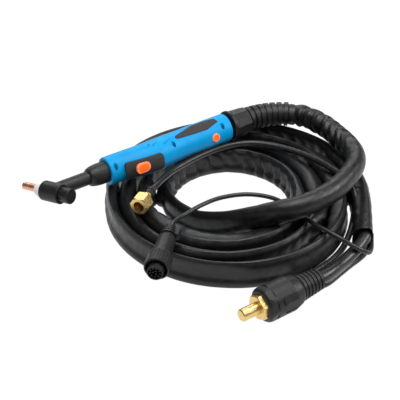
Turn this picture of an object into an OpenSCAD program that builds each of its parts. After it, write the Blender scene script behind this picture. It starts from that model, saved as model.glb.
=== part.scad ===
// TIG welding torch: a bent-neck head on a two-shell handle with a trigger and a
// second button, a ball swivel behind the handle, a long cable sleeve wound in a
// coil, and three machine leads with their power, gas and control connectors.
//
// +X runs from the head to the cable end of the handle, +Z is up. The origin is
// where the electrode line crosses the handle line. The floor is at -floor_drop.
// All sizes are in millimetres.

/* [Head] */
// Angle between the handle line and the electrode line
head_angle = 68; // [60:1:76]
// Electrode that the collet takes
electrode_d = 2.4; // [1.6:0.1:3.2]
// Collet tube, outside
collet_d = 4.4; // [4.2:0.1:5]
// Collet body, outside
collet_body_d = 8.6; // [8:0.1:9.6]
// How far the bare collet body reaches from the handle line
collet_reach = 38.5; // [32:0.5:44]
// Heat shield, outside at the head
shield_d = 19; // [17:0.5:21]
// Front face of the heat shield from the handle line
shield_reach = 19; // [16:0.5:24]
// Head barrel, outside
head_d = 22; // [20:0.5:26]
// Front face of the head barrel from the handle line
head_front = 9.5; // [9:0.5:14]
// Rear face of the head barrel from the handle line
head_back = 15.5; // [14:0.5:20]
// Brass core inside the head barrel, outside
core_d = 15; // [14:0.5:17]
// Back cap, outside
cap_d = 17; // [15:0.5:18]
// Length of the back cap behind the head barrel
cap_length = 13; // [11:0.5:30]

/* [Neck] */
// Neck cover, outside
neck_d = 15.4; // [13:0.2:17]
// Rounded boot between neck and handle, outside
neck_boot_d = 24.5; // [20:0.5:26]
// Where the neck boot starts behind the head
neck_boot_start = 46; // [40:1:56]
// Copper neck tube, outside
neck_tube_d = 7; // [6:0.25:7.5]

/* [Handle] */
// Front face of the handle from the head
grip_start = 68.5; // [60:0.5:80]
// Length of the handle
grip_length = 164; // [150:1:190]
// Wall of the handle shells
grip_wall = 2.5; // [2:0.1:3]
// Radius of the handle at its front face
grip_front_r = 16; // [15.6:0.1:18]
// Radius of the handle at its fullest place
grip_belly_r = 18; // [17:0.1:20]
// Radius of the handle at its waist
grip_waist_r = 16.7; // [16:0.1:18]
// Radius of the handle at its rear face
grip_rear_r = 16.8; // [16.4:0.1:18]
// How far the front half of the handle bows out on its button side
grip_bow = 4.5; // [0:0.1:5]
// Roll of the handle: 90 points the buttons sideways, 0 points them up
grip_roll = 81; // [60:1:90]
// Head of the handle screws
screw_head_d = 4.6; // [4:0.1:5.4]

/* [Controls] */
// Middle of the trigger from the head
trigger_x = 104.5; // [101:0.5:110]
// Length of the trigger
trigger_length = 17; // [15:0.5:19]
// Width of the trigger
trigger_width = 12; // [10:0.5:14.5]
// Travel of the trigger
trigger_travel = 1.5; // [1:0.1:1.6]
// Height of the trigger pad above the handle
pad_proud = 2.4; // [1.5:0.1:3]
// Middle of the rear button ahead of the handle's rear face
button_back = 24.7; // [23:0.1:28]
// Rear button, outside
button_d = 10; // [8:0.5:11]
// Travel of the rear button
button_travel = 1; // [0.6:0.1:1.1]

/* [Swivel] */
// Ball at the rear of the handle
ball_d = 27; // [25:0.5:28]
// Middle of the ball behind the rear face of the handle
ball_offset = 16; // [12:0.1:17]
// Wall of the ring that the ball turns in
seat_wall = 1.4; // [1:0.1:2]
// Gap between the handle and the swivel collar
swivel_gap = 3.5; // [3:0.1:4]
// Lip of the swivel collar, outside
collar_lip_d = 36.4; // [36:0.1:38]
// Radius that the ribbed cable boot bends along
boot_bend_r = 78; // [60:1:110]
// Angle that the ribbed cable boot bends through
boot_bend = 41; // [35:1:45]
// Ribbed cable boot, outside over the ribs
boot_d = 28.4; // [26:0.2:30]
// Ribs on the cable boot
boot_ribs = 7; // [4:1:8]

/* [Cable sleeve] */
// Height of the sleeve where it lies coiled
sleeve_h = 32.7; // [28:0.1:34]
// Thickness of the sleeve where it lies coiled
sleeve_w = 14.5; // [12:0.1:15]
// Radius of the coil's first turn
coil_r = 72; // [68:0.5:80]
// Step from one turn of the coil to the next
coil_step = 20; // [19:0.1:22]

/* [Leads] */
// Power cable, outside
power_cable_d = 13.5; // [11:0.1:14]
// Gas hose, outside
gas_hose_d = 7.2; // [6:0.1:7.4]
// Control cable, outside
control_cable_d = 5; // [4:0.1:5.4]

/* [Power plug] */
// Contact pin, outside
pin_d = 13; // [9:0.5:13.5]
// Bare length of the contact pin
pin_length = 19.5; // [16:0.5:24]
// Hexagon of the contact pin across flats
pin_hex = 24; // [20:0.5:25]
// Rubber cover of the power plug, outside
power_plug_d = 37; // [34:0.5:37]

/* [Gas connector] */
// Union nut across flats
nut_hex = 19; // [17:0.5:19]
// Length of the union nut
nut_length = 15; // [14:0.5:18]
// Wall radius of the union nut's thread
nut_bore_r = 6; // [5:0.1:6.5]

/* [Control connector] */
// Coupling ring, outside
ring_d = 26; // [24:0.2:26.4]
// Housing of the contact insert, outside
insert_d = 16.4; // [15:0.2:17]
// Contact pins in the insert
contact_count = 12; // [6:1:12]

/* [Hidden] */
$fn = 64;
floor_drop = 51;          // floor below the handle line
slack = 0.05;             // radial clearance of fixed pieces in their seats
run = 0.05;               // radial clearance of turning pieces
glide = 0.25;             // clearance round the sliding buttons
far = 60;                 // reach of cutting solids

cap_gap = 0.3;            // back cap to head barrel when it is tight
cap_seat = -4;            // inner end of the back cap on the electrode line
seal_wire_r = 0.8;
seal_ring_r = 5.4;
foot_r = collet_body_d / 2 - 0.4;   // thread of the collet body and of the back cap
thread_r = foot_r + slack;
neck_bore_r = neck_tube_d / 2 + slack;
neck_socket = 1.5;        // depth of the neck tube in the head core

grip_end = grip_start + grip_length;
belly_share = 0.366;      // fullest place along the handle
waist_share = 0.634;
inlay = 1;                // how deep pads and inserts sink into the shells
insert_angle = 68;        // from the buttons round to the middle of an insert
bell_r = neck_boot_d / 2;
bell_end = grip_start + 3;
nose_end = grip_start + 9.5;
connector_r = 4.8;
web_t = 2;
web_gap = 0.1;

pad_front = trigger_x - 20.6;
pad_rear = trigger_x + 27.2;
guide_wall = 1.3;
guide_z = 12.6;
trigger_flange_z = 11.2;
button_flange_t = 1.2;
trigger_lip = 0.9;
trigger_proud = 0.9;
nub_z = 10.4;
nub_x = trigger_x + 4;
switch_half_length = 11.4;
switch_half_width = 3.5;
switch_top = 7.9;
pivot_x = trigger_x - 9;
pivot_z = 8.5;
pivot_r = 0.6;
lever_length = 14.5;
lever_t = 0.4;
lever_angle = atan(trigger_travel / 14.3);
button_x = grip_end - button_back;
button_flange_z = 11.2;
button_proud = 0.9;
rear_switch_half = button_d / 2 + 1.6;
screw_xs = [grip_start + 6.5, grip_start + grip_length / 2, grip_end - 12.5];
screw_z = 13.2;
screw_foot = -5;
screw_shank_r = 1.4;
screw_seat_y = 2.6;
screw_head_t = 2.2;
boss_r = 2.9;

ball_r = ball_d / 2;
ball_x = grip_end + ball_offset;
seat_r = ball_r + run + seat_wall;
seat_half = 3.6;
collar_mouth_r = 12;
collar_start = grip_end + swivel_gap;
collar_lip_t = 3.6;
stem_r = 9;
cable_bore_r = 6.5;
flange_r = 13;
flange_t = 3;
flange_x = grip_end - 8.5;

boot_start = ball_x + 13.5;
boot_bore_r = 9.5;
boot_core_r = boot_d / 2 - 1.9;
boot_tip = [boot_start + boot_bend_r * sin(boot_bend), boot_bend_r * (cos(boot_bend) - 1), 0];
boot_heading = [cos(boot_bend), -sin(boot_bend), 0];

plug_x = 68.5;
plug_at = [plug_x, -250, power_plug_d / 2 - floor_drop];
pin_r = pin_d / 2;
cover_front = pin_length + 5;
hex_end = pin_length + 9;
shank_r = 8.5;
cable_seat = pin_length + 40;
cover_end = pin_length + 80;
cover_ribs = 6;
power_bore_r = power_cable_d / 2 + 0.5;

gas_angle = -147.6;
gas_axis = [cos(gas_angle), sin(gas_angle), 0];
gas_back = [86.9, -57.4, -6.6];
nut_face = 23.6;
nut_back = nut_face - nut_length;
nut_thread = 7.4;
nipple_head = nut_face - nut_thread - 5.2;
nipple_r = 4.4;

control_angle = -136;
control_axis = [cos(control_angle), sin(control_angle), 0];
control_back = [72.5, -123.7, -4.7];
shell_r = ring_d / 2 - 2.5;
gland_end = 18;
ring_start = 52;
ring_end = 69.5;
insert_end = 76;
contact_r = 0.8;

// The coil: a flat spiral of upright turns that bulges at its near side.
sleeve_sides = 12;
sleeve_cut = sleeve_w / 10;                      // depth of the flat that the coil lies on
sleeve_high = (sleeve_h + sleeve_cut) / pow(cos(180 / sleeve_sides), 0.8);
coil_z = (sleeve_h - sleeve_cut) / 2 - floor_drop;
coil_centre = [183.4, -79.1];
coil_first_angle = 144.8;
coil_turns = 3.5;
coil_rings = 30;          // sections in one turn
coil_bulge = 19;
coil_drift = 5;

// Routes of the cords, each from one end to the other.
lead_route = [
  boot_tip, [326, -35, 0], [331, -60, 0], [329, -87, 0], [325, -113, 0], [315, -136, 1], [298, -154, 3],
  [275, -167, 4], [249, -177, 4], [223, -181, 4], [199, -179, 2.5], [180, -168.5, -2], [160, -149, -14],
  [141, -126, -27], [126, -100, coil_z], [118.5, -77, coil_z], [118.6, -57, coil_z], coil_point(0)
];
end_route = [coil_point(coil_turns), [292, -184, coil_z], [274, -204, -36], [254.5, -225, -36]];
power_route = [
  [263.4, -214.2, -31], [253.9, -224.5, -31.2], [240, -231, -34], [220, -237, -36.2], [203, -242, -36.2],
  [188, -247, -34], [174, -249.8, -32.8], [160, -250, -32.5], [plug_x + cable_seat, -250, -32.5]
];
gas_route = [
  gas_back - 10 * gas_axis, [106, -45.5, -7.6], [121, -35, -11], [147, -22.5, -14], [186, -16, -14],
  [221, -17, -14], [249, -27, -14], [269, -49, -14], [283, -78, -14], [290, -106, -14],
  [292, -131, -14.2], [292, -146, -14.4], [291, -160, -21], [286, -173, -29],
  [274.2, -184.2, -36], [260, -196, -42], [244, -205.5, -46], [231, -211.5, -47.4],
  [221.5, -222, -47.4], [221, -235, -47.4], [229, -243, -47.4], [240, -243, -47.4],
  [248.5, -235.8, -46.5], [256.4, -226.8, -45], [265.9, -216.5, -44.8]
];
control_route = [
  [268.5, -218.9, -38.8], [259, -229.2, -38.8], [251, -237.5, -38.5], [242, -243.5, -36.5],
  [232.5, -243.5, -30], [224, -236.5, -24], [216, -226, -17.5], [211, -211, -15.2], [208, -194, -15.3],
  [207.5, -170, -15.3], [206, -147, -15], [199, -127, -14.5], [181, -109, -14], [154, -99, -13.5],
  [127.5, -99, -13], [102, -106, -10.5], [88, -111.5, -7.5], [79, -117.4, -5.4], control_back
];

// ---------- helpers ----------

function mix(a, b, t) = a + (b - a) * t;
function ease(t) = let(c = min(1, max(0, t))) c * c * (3 - 2 * c);
function unit(v) = v / norm(v);
function arc(c, r, from, to, steps = 5) =
  [for (k = [0 : steps]) let(a = mix(from, to, k / steps)) c + r * [cos(a), sin(a)]];

// Outline with round corners about the given centres, listed anticlockwise.
function rounded(centres, r, steps = 4) =
  let(n = len(centres))
  [for (i = [0 : n - 1])
    let(before = centres[(i + n - 1) % n], here = centres[i], after = centres[(i + 1) % n],
        a = atan2(here[1] - before[1], here[0] - before[0]) - 90,
        b = atan2(after[1] - here[1], after[0] - here[0]) - 90,
        turn = (b - a + 720) % 360)
    for (k = [0 : steps]) here + r * [cos(a + turn * k / steps), sin(a + turn * k / steps)]];

function oblong(length, width, r) =
  let(x = length / 2 - r, y = width / 2 - r) rounded([[-x, -y], [x, -y], [x, y], [-x, y]], r);

// A solid of revolution about Z from [height, radius] pairs.
module spun(profile) {
  rotate_extrude() polygon([for (p = profile) [p[1], p[0]]]);
}

// The same about X, with places along X.
module turned(profile) {
  rotate([0, 90, 0]) spun(profile);
}

module rod(from, to, r) {
  translate([from, 0, 0]) rotate([0, 90, 0]) cylinder(r = r, h = to - from);
}

module hexagon(across_flats, height) {
  cylinder(r = across_flats / sqrt(3), h = height, $fn = 6);
}

module handpiece_frame() {
  rotate([grip_roll, 0, 0]) children();
}

// +Z of the children runs along the electrode, out of the head.
module electrode_line() {
  handpiece_frame() rotate([0, -(90 + head_angle), 0]) children();
}

module gas_frame() {
  translate(gas_back) rotate([0, 0, gas_angle]) rotate([0, 90, 0]) children();
}

module control_frame() {
  translate(control_back) rotate([0, 0, control_angle]) rotate([0, 90, 0]) children();
}

// Direction of a route at point i, given at its two ends.
function heading(route, i, first, last) =
  i == 0 ? unit(first) : i == len(route) - 1 ? unit(last)
    : unit(unit(route[i + 1] - route[i]) + unit(route[i] - route[i - 1]));

function squared(v, power) = sign(v) * pow(abs(v), power);

// One section of a cord: wide across the route, high upright, an oval where
// power is 1 and fuller at its corners where it is less, cut flat at low.
function section(p, dir, wide, high, sides, power = 1, low = -floor_drop) =
  let(across = unit(cross([0, 0, 1], dir)), up = cross(dir, across))
  [for (k = [0 : sides - 1])
    let(a = 360 * (k + 0.5) / sides,
        q = p + across * wide / 2 * squared(cos(a), power) + up * high / 2 * squared(sin(a), power))
    [q[0], q[1], max(q[2], low)]];

// A closed tube through sections that all have the same number of points.
module tube(sections) {
  sides = len(sections[0]);
  last = (len(sections) - 1) * sides;
  walls = [for (i = [0 : sides : last - 1]) for (k = [0 : sides - 1])
    let(a = i + k, b = i + (k + 1) % sides)
    each [[a, b + sides, b], [a, a + sides, b + sides]]];
  caps = [for (k = [1 : sides - 2])
    each [[0, k, k + 1], [last, last + k + 1, last + k]]];
  polyhedron([for (s = sections) each s], concat(walls, caps));
}

module round_cord(route, d, first, last, sides = 8) {
  fat = d / cos(180 / sides);
  tube([for (i = [0 : len(route) - 1])
    section(route[i], heading(route, i, first, last), fat, fat, sides)]);
}

// ---------- handle outline ----------

function grip_r(share) =
  share < belly_share ? mix(grip_front_r, grip_belly_r, ease(share / belly_share))
    : share < waist_share
      ? mix(grip_belly_r, grip_waist_r, ease((share - belly_share) / (waist_share - belly_share)))
    : mix(grip_waist_r, grip_rear_r, ease((share - waist_share) / (1 - waist_share)));

function grip_r_at(x) = grip_r((x - grip_start) / grip_length);
function grip_x(share) = grip_start + share * grip_length;

// Places along the handle with their share of the bow.
bow_nodes = [for (n = [[0, 0], [0.05, 0], [0.12, 0.2], [0.195, 0.62], [0.27, 0.93], [0.33, 1],
                       [0.4, 0.84], [0.49, 0.5], [0.585, 0.2], [0.7, 0], [1, 0]])
  [grip_start + n[0] * grip_length, n[1]]];

// Middle of the handle at x.
function grip_middle(x) = let(share = lookup(x, bow_nodes)) [0, 0, grip_bow * share];

// Where the line of the screw at x crosses the split of the shells.
function screw_at(x) = [x, 0, screw_z + grip_middle(x)[2]];

// The handle's outside, grown by grow: a loft through round sections along the bow. With
// edge, its ends are rounded; otherwise it may be a length between two places along X.
module grip_solid(grow, from = grip_start, to = grip_end, edge = 0) {
  sides = edge > 0 ? 48 : 36;
  steps = ceil((to - from) / 8.2);
  front = edge > 0 ? [[from, -edge], [from + 0.3 * edge, -0.3 * edge]] : [];
  rear = edge > 0 ? [[to - 0.3 * edge, -0.3 * edge], [to, -edge]] : [];
  middle = [for (k = [0 : steps]) [mix(from + edge, to - edge, k / steps), 0]];
  tube([for (p = concat(front, middle, rear))
    let(r = grip_r_at(p[0]) + grow + p[1])
    [for (k = [0 : sides - 1]) let(a = 360 * (k + 0.5) / sides)
      [p[0], 0, 0] + grip_middle(p[0]) + r * [0, cos(a), sin(a)]]]);
}

// A turned hollow along the bow, a wall's thickness inside the handle, cut square at both ends.
module grip_chamber(from, to) {
  middle = (from + to) / 2;
  half = (to - from) / 2 + 2;
  lean = (grip_middle(to) - grip_middle(from)) / (to - from);
  steps = ceil(half / 4);
  line = [for (k = [0 : steps]) let(x = mix(-half, half, k / steps))
    [x, grip_r_at(middle + x) - grip_wall]];
  intersection() {
    translate([middle, 0, 0] + grip_middle(middle)) rotate([0, -atan(lean[2]), 0])
      turned(concat([[-half, 0]], line, [[half, 0]]));
    translate([from, -far / 2, -far / 2]) cube([to - from, far, far]);
  }
}

// The handle's outside where the trigger pad lies, and where the inserts lie.
module grip_at_pad(grow) { grip_solid(grow, pad_front - 2, pad_rear + 2); }
module grip_at_inserts(grow) { grip_solid(grow, grip_x(0.53), grip_x(0.92)); }

function pad_outline(grow) =
  rounded([[pad_front + 4, -6.4], [pad_rear - 4, -6.8], [pad_rear - 4, 5.6],
           [pad_front + 4, 5.6]], 3.6 + grow);

function trigger_outline(grow) =
  [for (p = oblong(trigger_length + 2 * grow, trigger_width + 2 * grow, 5 + grow))
    p + [trigger_x, 0]];

// Leaf-shaped insert on a flank of the handle, in X and away from the buttons.
function insert_outline(grow) =
  rounded([[grip_x(0.552), -3.6], [grip_x(0.8), -4.6], [grip_x(0.892), -0.4],
           [grip_x(0.886), 2.4], [grip_x(0.82), 4.8], [grip_x(0.716), 4.6]], 2.2 + grow);

// The insert's outline carried out of the handle on its upper (-1) or lower (1) flank.
module insert_prism(side, grow) {
  rotate([side * insert_angle, 0, 0]) linear_extrude(far)
    polygon([for (p = insert_outline(grow)) [p[0], -side * p[1]]]);
}

// ---------- head ----------

module collet_body() {
  bore_r = collet_d / 2 + slack;
  shoulder = shield_reach + 0.3;
  edge = 0.8;
  color("#d9a27c") electrode_line() difference() {
    spun([[0.5, bore_r], [0.5, foot_r], [shoulder, foot_r], [shoulder, collet_body_d / 2],
          [collet_reach - edge, collet_body_d / 2],
          [collet_reach, collet_body_d / 2 - edge], [collet_reach, bore_r + edge],
          [collet_reach - edge, bore_r]]);
    for (a = [45, 135, 225, 315]) rotate([0, 0, a]) translate([0, 0, shield_reach + 6])
      rotate([0, 90, 0]) cylinder(r = 0.8, h = far);
  }
}

module collet() {
  bore_r = electrode_d / 2 + slack;
  slit_t = 0.3;
  color("#c8855a") electrode_line() difference() {
    spun([[cap_seat + 0.1, bore_r], [cap_seat + 0.1, collet_d / 2], [collet_reach - 2, collet_d / 2],
          [collet_reach - 1.5, collet_d / 2 - 0.4], [collet_reach - 1.5, bore_r]]);
    translate([-far, -slit_t / 2, collet_reach - 14]) cube([2 * far, slit_t, far]);
  }
}

module heat_shield() {
  bore_r = thread_r;
  outer_r = shield_d / 2;
  nose_r = outer_r - 2.2;
  color("#f2f2ee") electrode_line()
    spun([[head_front, bore_r], [head_front, outer_r], [head_front + 3.5, outer_r],
          [head_front + 4.5, outer_r - 1], [shield_reach - 0.8, nose_r], [shield_reach, nose_r - 0.8],
          [shield_reach, bore_r]]);
}

module head_core() {
  color("#b8963c") difference() {
    electrode_line()
      spun([[-head_back, thread_r], [-head_back, core_d / 2], [head_front, core_d / 2],
            [head_front, thread_r]]);
    handpiece_frame() rod(core_d / 2 - neck_socket, far, neck_bore_r);
  }
}

module head_jacket() {
  edge = 1.5;
  rear_edge = 0.8;
  color("#26282b") difference() {
    union() {
      electrode_line() spun(concat([[-head_back, 0]],
        arc([rear_edge - head_back, head_d / 2 - rear_edge], rear_edge, 180, 90),
        arc([head_front - edge, head_d / 2 - edge], edge, 90, 0), [[head_front, 0]]));
      handpiece_frame() rod(0, bell_end, neck_d / 2);
    }
    electrode_line() translate([0, 0, -far]) cylinder(r = core_d / 2 + slack, h = 2 * far);
    handpiece_frame() rod(0, bell_end + 1, neck_bore_r);
  }
}

module back_cap() {
  stem_r = foot_r - run;
  front = -head_back - cap_gap;
  rear = -head_back - cap_length;
  edge = 0.8;
  recess_r = seal_ring_r + seal_wire_r + 0.2;
  flute_length = 0.42 * cap_length;
  flutes = 10;
  color("#1d1e20") electrode_line() difference() {
    spun(concat([[cap_seat, 0], [cap_seat, stem_r], [front - 1.6, stem_r], [front - 1.6, recess_r],
                 [front, recess_r], [front, cap_d / 2]],
                arc([rear + edge, cap_d / 2 - edge], edge, 90, 180), [[rear, 0]]));
    for (k = [0 : flutes - 1]) rotate([0, 0, 360 * k / flutes])
      translate([cap_d / 2 + 0.7, 0, front - flute_length]) cylinder(r = 1.7, h = flute_length + 1);
    translate([0, 0, rear + 3]) cylinder(r = electrode_d / 2 + 0.4, h = far);
  }
}

module cap_o_ring() {
  color("#111111") electrode_line() translate([0, 0, -head_back - seal_wire_r - 0.1])
    rotate_extrude() translate([seal_ring_r, 0]) circle(r = seal_wire_r);
}

// ---------- neck ----------

module neck_tube() {
  color("#c8855a") handpiece_frame() difference() {
    rod(core_d / 2 - neck_socket + 0.1, trigger_x - 13.5, neck_tube_d / 2);
    rod(0, trigger_x, neck_tube_d / 2 - 1);
  }
}

module neck_boot() {
  bore_r = neck_d / 2 + slack;
  dome_length = 16;
  dome = [for (k = [0 : 8]) let(a = 90 * k / 8)
    [neck_boot_start + dome_length * (1 - cos(a)), mix(bore_r + 0.8, bell_r, sin(a))]];
  color("#2b2b2b") handpiece_frame()
    turned(concat([[neck_boot_start, bore_r]], dome, [[bell_end, bell_r], [bell_end, bore_r]]));
}

// ---------- handle ----------

// Hollows of the handle between its cross webs.
module chambers() {
  switch_from = trigger_x - switch_half_length - web_gap;
  switch_to = trigger_x + switch_half_length + web_gap;
  button_from = button_x - rear_switch_half - web_gap;
  button_to = button_x + rear_switch_half + web_gap;
  spans = [[nose_end, switch_from - web_t], [switch_from, switch_to],
           [switch_to + web_t, button_from - web_t], [button_from, button_to],
           [button_to + web_t, flange_x - web_t]];
  for (s = spans) difference() {
    grip_chamber(s[0], s[1]);
    for (x = screw_xs) translate(screw_at(x)) rotate([90, 0, 0])
      cylinder(r = boss_r, h = 2 * far, center = true);
  }
}

module screw_holes() {
  for (x = screw_xs) translate(screw_at(x)) rotate([-90, 0, 0]) {
    translate([0, 0, screw_seat_y]) cylinder(r = screw_head_d / 2 + slack, h = far);
    translate([0, 0, screw_foot]) cylinder(r = screw_shank_r + slack, h = far);
  }
}

// Slanted grooves on both flanks behind the trigger, where the thumb lies, each given
// by its place along the handle, angle from the buttons, slant and length.
module thumb_grooves() {
  depth = 1;
  for (side = [-1, 1], g = [[0.318, 72, 50, 6], [0.365, 68.5, 31, 9], [0.465, 59.5, 25, 14]])
    translate(grip_middle(grip_x(g[0]))) rotate([side * g[1], 0, 0])
      translate([grip_x(g[0]), 0, grip_r(g[0]) - depth]) rotate([0, 0, -side * g[2]])
        linear_extrude(3) polygon(oblong(g[3], 1.6, 0.7));
}

module grip_shells() {
  difference() {
    grip_solid(0, edge = 1.4);
    chambers();
    rod(grip_start - 1, bell_end, bell_r + slack);
    rod(bell_end - 1, nose_end + 1, neck_bore_r);
    rod(nose_end, flange_x, connector_r + slack);
    rod(flange_x, flange_x + flange_t, flange_r + slack);
    rod(flange_x, grip_end + 1, stem_r + slack);
    difference() {
      linear_extrude(far) polygon(pad_outline(0.1));
      grip_at_pad(-inlay);
    }
    translate([0, 0, guide_z - 2]) linear_extrude(far) polygon(trigger_outline(glide + guide_wall + slack));
    translate([button_x, 0, 0]) cylinder(r = button_d / 2 + glide, h = far);
    for (side = [-1, 1]) difference() {
      insert_prism(side, 0.1);
      grip_at_inserts(-inlay);
    }
    screw_holes();
    thumb_grooves();
  }
}

module handle_shell_upper() {
  color("#1397e4") handpiece_frame() intersection() {
    grip_shells();
    translate([0, 0, -far]) cube([2 * grip_end, far, 2 * far]);
  }
}

module handle_shell_lower() {
  color("#0f8ed8") handpiece_frame() intersection() {
    grip_shells();
    translate([0, -far, -far]) cube([2 * grip_end, far, 2 * far]);
  }
}

module handle_screws() {
  color("#8a8d90") handpiece_frame() for (x = screw_xs)
    translate(screw_at(x)) rotate([-90, 0, 0]) difference() {
      union() {
        translate([0, 0, screw_seat_y]) cylinder(r = screw_head_d / 2, h = screw_head_t);
        translate([0, 0, screw_foot + 0.4]) cylinder(r = screw_shank_r, h = screw_seat_y - screw_foot);
      }
      translate([0, 0, screw_seat_y + screw_head_t - 1.2]) hexagon(2.5, 2);
    }
}

module grip_insert(side) {
  proud = 0.7;
  color("#3a3b3d") handpiece_frame() difference() {
    intersection() {
      insert_prism(side, 0);
      grip_at_inserts(proud);
    }
    grip_at_inserts(slack - inlay);
  }
}

module grip_insert_upper() { grip_insert(-1); }
module grip_insert_lower() { grip_insert(1); }

// ---------- controls ----------

module trigger_pad() {
  color("#33363a") handpiece_frame() difference() {
    union() {
      difference() {
        intersection() {
          linear_extrude(far) polygon(pad_outline(0));
          grip_at_pad(pad_proud);
        }
        grip_at_pad(slack - inlay);
      }
      intersection() {
        translate([0, 0, guide_z]) linear_extrude(far) polygon(trigger_outline(glide + guide_wall));
        grip_at_pad(pad_proud);
      }
    }
    linear_extrude(far) polygon(trigger_outline(glide));
  }
}

module trigger() {
  crown_r = grip_r_at(trigger_x) + pad_proud + trigger_proud;
  color("#f2693a") handpiece_frame() {
    intersection() {
      translate([0, 0, trigger_flange_z]) linear_extrude(far) polygon(trigger_outline(0));
      translate(grip_middle(trigger_x)) rod(0, grip_end, crown_r);
    }
    translate([0, 0, trigger_flange_z]) linear_extrude(button_flange_t)
      polygon(trigger_outline(trigger_lip));
    translate([nub_x, -2, nub_z]) cube([2, 4, trigger_flange_z - nub_z + 0.5]);
  }
}

module microswitch() {
  ear_t = 0.75;
  ear_top = pivot_z + 1.05;
  foot = connector_r + 0.3;
  color("#1b1b1d") handpiece_frame() difference() {
    union() {
      translate([trigger_x - switch_half_length, -switch_half_width, foot])
        cube([2 * switch_half_length, 2 * switch_half_width, switch_top - foot]);
      for (y = [-switch_half_width, switch_half_width - ear_t]) translate([pivot_x - 1.6, y, foot])
        cube([3.2, ear_t, ear_top - foot]);
    }
    translate([pivot_x, far, pivot_z]) rotate([90, 0, 0]) cylinder(r = pivot_r + run, h = 2 * far);
  }
}

module switch_lever() {
  half_width = 2.5;
  color("#c9ccd0") handpiece_frame() translate([pivot_x, 0, pivot_z]) rotate([0, -lever_angle, 0]) {
    translate([0, -half_width, -lever_t / 2]) cube([lever_length, 2 * half_width, lever_t]);
    translate([0, switch_half_width, 0]) rotate([90, 0, 0])
      cylinder(r = pivot_r, h = 2 * switch_half_width);
  }
}

module rear_button() {
  r = button_d / 2;
  top = grip_r_at(button_x) + grip_middle(button_x)[2] + button_proud;
  flange_top = button_flange_z + button_flange_t;
  color("#f2693a") handpiece_frame() translate([button_x, 0, 0])
    spun(concat([[button_flange_z, 0], [button_flange_z, r + 1.2], [flange_top, r + 1.2], [flange_top, r]],
                arc([top - 0.9, r - 0.9], 0.9, 90, 0), [[top, 0]]));
}

module rear_switch() {
  foot = connector_r + 0.3;
  body_top = button_flange_z - button_travel - 1.2;
  color("#1b1b1d") handpiece_frame() translate([button_x, 0, 0]) {
    translate([-rear_switch_half, -3, foot]) cube([2 * rear_switch_half, 6, body_top - foot]);
    cylinder(r = 1.5, h = button_flange_z - button_travel - 0.2);
  }
}

module power_connector() {
  front = trigger_x - 22;
  barb = trigger_x + 16;
  color("#c9a64a") handpiece_frame() difference() {
    union() {
      rod(front, barb, connector_r);
      for (k = [0 : 3]) let(x = barb + 3 * k) turned([[x, 0], [x, 4], [x + 3, 3.2], [x + 3, 0]]);
    }
    rod(front - 1, trigger_x - 13.4, neck_bore_r);
    rod(front, barb + far, 2);
  }
}

// ---------- swivel ----------

module swivel_ball() {
  color("#2a2b2d") handpiece_frame() difference() {
    union() {
      translate([ball_x, 0, 0]) sphere(r = ball_r);
      rod(flange_x, ball_x - 5, stem_r);
      rod(flange_x + slack, flange_x + flange_t - slack, flange_r);
    }
    rod(flange_x - 1, ball_x + far, cable_bore_r);
    translate([ball_x + 9, -far / 2, -far / 2]) cube(far);
  }
}

module swivel_ring() {
  color("#dcdcd6") difference() {
    intersection() {
      translate([ball_x, 0, 0]) sphere(r = seat_r);
      rod(ball_x - seat_half, ball_x + seat_half, far);
    }
    translate([ball_x, 0, 0]) sphere(r = ball_r + run);
  }
}

module swivel_collar() {
  lip_r = collar_lip_d / 2;
  body_r = lip_r - 0.9;
  rear_r = lip_r - 1.9;
  flats = 12;
  flats_from = collar_start + collar_lip_t + 1;
  color("#2c2d30") difference() {
    turned([[collar_start, 0], [collar_start, lip_r - 0.8], [collar_start + 0.8, lip_r],
            [collar_start + collar_lip_t - 0.5, lip_r], [collar_start + collar_lip_t, body_r],
            [boot_start - 1, rear_r], [boot_start, rear_r - 1], [boot_start, 0]]);
    for (k = [0 : flats - 1]) rotate([360 * k / flats, 0, 0])
      translate([flats_from, -far / 2, body_r - 0.75]) rotate([0, 3, 0]) cube([far, far, far]);
    translate([ball_x, 0, 0]) sphere(r = seat_r + run);
    rod(collar_start - 1, ball_x - 8, collar_mouth_r);
    rod(ball_x, boot_start + 1, boot_bore_r);
  }
}

// A round of the boot's bend between two angles from its start.
module boot_bend(from, to, r) {
  translate([boot_start, -boot_bend_r, 0]) rotate([0, 0, 90 - to])
    rotate_extrude(angle = to - from, $fn = 128) translate([boot_bend_r, 0]) circle(r = r, $fn = 64);
}

module cable_boot() {
  pitch = boot_bend / boot_ribs;
  color("#2b2c2e") difference() {
    union() {
      boot_bend(0, boot_bend, boot_core_r);
      for (k = [0 : boot_ribs - 1]) boot_bend((k + 0.3) * pitch, (k + 0.9) * pitch, boot_d / 2);
    }
    boot_bend(-1, boot_bend + 1, boot_bore_r);
  }
}

// ---------- cable sleeve ----------

// Middle of the coiled sleeve after t turns.
function coil_point(t) =
  let(a = coil_first_angle - 360 * t,
      near = t > 0.3 ? max(0, -sin(360 * t)) : 0,
      right = max(0, -cos(360 * t)) * (1 - ease((t - 1.6) / 0.8)),
      drift = t < 2.5 ? -coil_drift * sin(72 * t) : 0,
      back = t > 2.8 ? pow(max(0, cos(360 * (t - 3.04))), 4) : 0,
      r = coil_r + coil_step * t + (coil_bulge - 2.5 * t) * near - 5.5 * right + 5 * back
        + 8 * ease((t - 3) / 0.5))
  [coil_centre[0] + r * cos(a) + 0.817 * drift, coil_centre[1] + r * sin(a) - 0.576 * drift, coil_z];

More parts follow.
